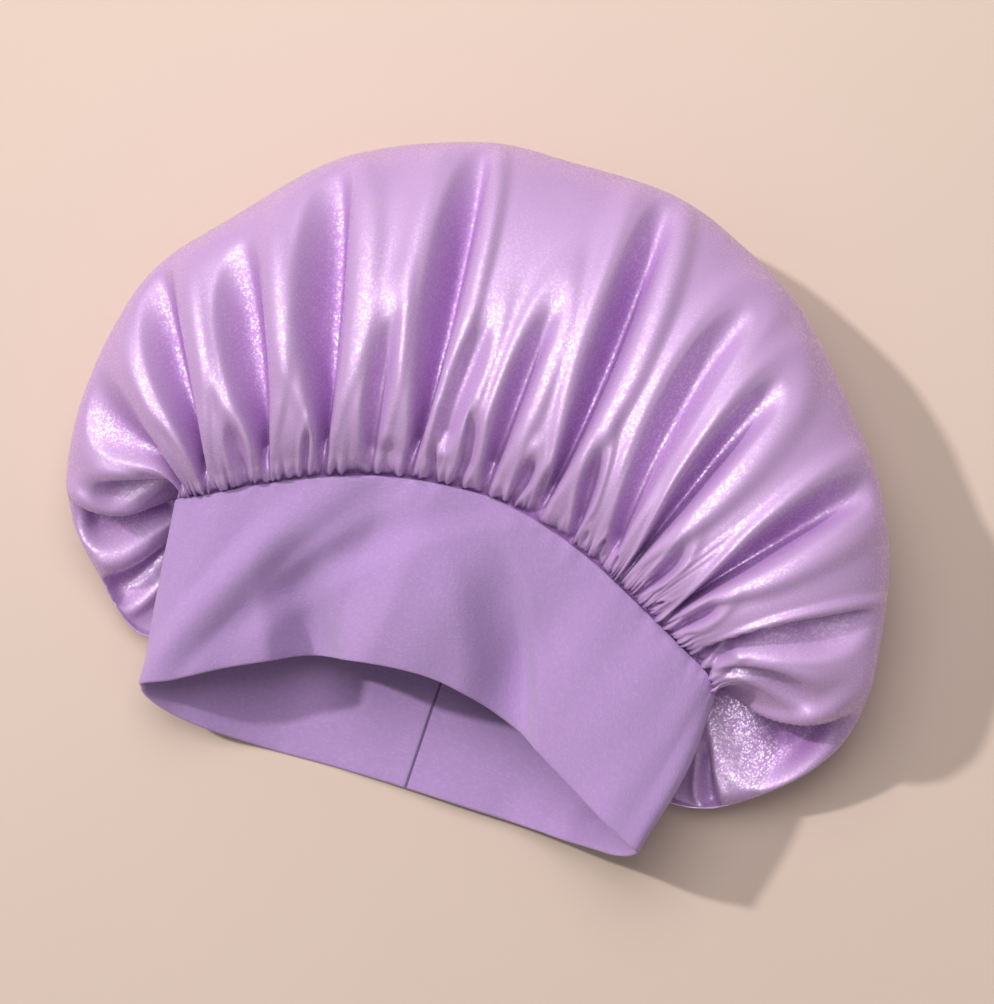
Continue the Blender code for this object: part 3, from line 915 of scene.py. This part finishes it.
def ground_material():
    """Pale matt ground with a painted falloff of light, a little deeper to the right and towards the front.
    """
    tint = colours()
    material, tree, shader, place, _ = new_material("ground", roughness=0.9)
    drift = place_group(tree, drift_group, Size=0.5)
    tree.links.new(place, drift.inputs["Place"])
    split = tree.nodes.new("ShaderNodeSeparateXYZ")
    tree.links.new(place, split.inputs[0])
    # Painted falloff of light across the ground, with the slow drift.
    to_right, to_back = GROUND_FALLOFF
    drifting = math(tree, "MULTIPLY", drift.outputs[0], GROUND_DRIFT)
    aside = math(tree, "MULTIPLY_ADD", split.outputs[0], to_right, drifting)
    sloping = math(tree, "MULTIPLY_ADD", split.outputs[1], to_back, aside)
    deep = math(tree, "ADD", sloping, GROUND_MIDDLE)
    shade = tuple(GROUND_SHADE * value for value in tint.ground)
    tree.links.new(blend_colours(tree, deep, tint.ground, shade), shader.inputs["Base Color"])
    shader.inputs["Specular IOR Level"].default_value = 0.1
    return material


class BONNET_OT_crown(bpy.types.Operator):
    """Make the gathered satin crown"""

    bl_idname = "bonnet.crown"
    bl_label = "Crown"

    def execute(self, context):
        sections = crown_columns()
        skin, pole = crown_skin(sections)
        cloth, valley = gathered(skin, sections)
        cloth = into_frame(cloth)
        rounds = np.append(sections, sections[0] + len(CROWN_SECTIONS))
        flat = flat_places(cloth, rounds * (sizes().satin_width / len(CROWN_SECTIONS)))
        crown = add_grid("satin_crown", cloth, flat, pole=into_frame(pole))
        # The satin's painted shade, carried by the mesh for its material.
        inside = crown.data.attributes.new("valley", "FLOAT", "POINT")
        inside.data.foreach_set("value", np.append(valley.ravel(), 0.0))
        thicken(crown, sizes().satin_wall, offset=-1.0)
        crown.data.materials.append(satin_material())
        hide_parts("crown")
        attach(crown, "root")
        return {"FINISHED"}


class BONNET_OT_band(bpy.types.Operator):
    """Make the folded knit band"""

    bl_idname = "bonnet.band"
    bl_label = "Band"

    def execute(self, context):
        cloth, places = band_sheet()
        cloth = into_frame(cloth)
        rounds = np.append(places, len(BAND_SECTIONS)) * BAND_ROUND / len(BAND_SECTIONS)
        flat = flat_places(cloth, rounds)
        cloth[..., 2] = np.maximum(cloth[..., 2], sizes().knit_wall / 2)
        band = add_grid("knit_band", cloth[::-1], flat[::-1])
        thicken(band, sizes().knit_wall, offset=0.0)
        band.data.materials.append(knit_material())
        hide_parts("band")
        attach(band, "root")
        return {"FINISHED"}


GROUND_SIDE = 1.5         # half the side of the ground
GROUND_DROP = 0.0002      # how far it lies below the cloths
SUN_WAY = (0.754244, -0.163664, -0.636)   # way that the sun's light goes
# Soft lights over the ground: one lights the cloths, the other only gives their gloss.
SOFT_BOXES = (
    # name, power, place, gloss
    ("soft box", 25.0, (-0.45, 0.90, 1.85), False),
    ("gloss box", 44.0, (-0.50, 0.10, 2.2), True),
)
BOX_SIZE = 1.6
SUN_COLOUR = (1.0, 0.97, 0.93)
BOX_COLOUR = (1.0, 0.975, 0.96)
FILL_COLOUR = (1.0, 0.965, 0.95, 1.0)
FILL_STRENGTH = 0.30


def aim(lamp, name, way):
    """Put a lamp into the scene with its light along a way, and return its object."""
    piece = bpy.data.objects.new(name, lamp)
    piece.rotation_euler = Vector(way).to_track_quat("-Z", "Y").to_euler()
    bpy.context.scene.collection.objects.link(piece)
    return piece


class BONNET_OT_stage(bpy.types.Operator):
    """Make the ground, the lights and the camera"""

    bl_idname = "bonnet.stage"
    bl_label = "Stage"

    def execute(self, context):
        scene = context.scene
        side = GROUND_SIDE
        corners = np.array([(-side, -side, 0), (side, -side, 0), (side, side, 0), (-side, side, 0)])
        mesh = bpy.data.meshes.new("ground")
        mesh.from_pydata((corners - (0, 0, GROUND_DROP)).tolist(), [], [(0, 1, 2, 3)])
        mesh.materials.append(ground_material())
        ground = bpy.data.objects.new("ground", mesh)
        scene.collection.objects.link(ground)

        sun = bpy.data.lights.new("key", "SUN")
        sun.energy = 2.0
        sun.angle = radians(3.0)
        sun.color = SUN_COLOUR
        aim(sun, "key", SUN_WAY).visible_glossy = False

        for name, power, spot, gloss in SOFT_BOXES:
            box = bpy.data.lights.new(name, "AREA")
            box.shape = "DISK"
            box.size = BOX_SIZE
            box.energy = power
            box.color = BOX_COLOUR
            soft = aim(box, name, -Vector(spot))
            soft.location = spot
            soft.visible_glossy = gloss
            soft.visible_diffuse = not gloss

        scene.view_settings.view_transform = "Standard"
        world = bpy.data.worlds.new("fill")
        world.use_nodes = True
        set_inputs(world.node_tree.nodes["Background"], {"Color": FILL_COLOUR, "Strength": FILL_STRENGTH})
        scene.world = world

        camera = bpy.data.objects.new("camera", bpy.data.cameras.new("camera"))
        camera.data.sensor_width = 36.0
        camera.data.lens = 108.4
        camera.location = (0.0038, -0.0091, 1.40)
        camera.rotation_euler = (0, 0, radians(18.1))
        scene.collection.objects.link(camera)
        scene.camera = camera
        return {"FINISHED"}


class BONNET_PT_panel(bpy.types.Panel):
    """Sizes, colours and makers of the bonnet"""

    bl_label = "Sleep bonnet"
    bl_idname = "BONNET_PT_panel"
    bl_space_type = "VIEW_3D"
    bl_region_type = "UI"
    bl_category = "Bonnet"

    def draw(self, context):
        for group in (context.scene.bonnet_sizes, context.scene.bonnet_colours):
            box = self.layout.box()
            for name in group.bl_rna.properties.keys():
                if name not in ("rna_type", "name"):
                    box.prop(group, name)
        for maker in MAKERS:
            self.layout.operator(maker.bl_idname)


MAKERS = (BONNET_OT_band, BONNET_OT_crown, BONNET_OT_stage)
CLASSES = (BonnetSizes, BonnetColours, *MAKERS, BONNET_PT_panel)


def register():
    for kind in CLASSES:
        bpy.utils.register_class(kind)
    bpy.types.Scene.bonnet_sizes = PointerProperty(type=BonnetSizes)
    bpy.types.Scene.bonnet_colours = PointerProperty(type=BonnetColours)


def unregister():
    del bpy.types.Scene.bonnet_colours
    del bpy.types.Scene.bonnet_sizes
    for kind in reversed(CLASSES):
        bpy.utils.unregister_class(kind)


def main():
    register()
    bpy.ops.bonnet.band()
    bpy.ops.bonnet.crown()
    bpy.ops.bonnet.stage()


if __name__ == "__main__":
    main()
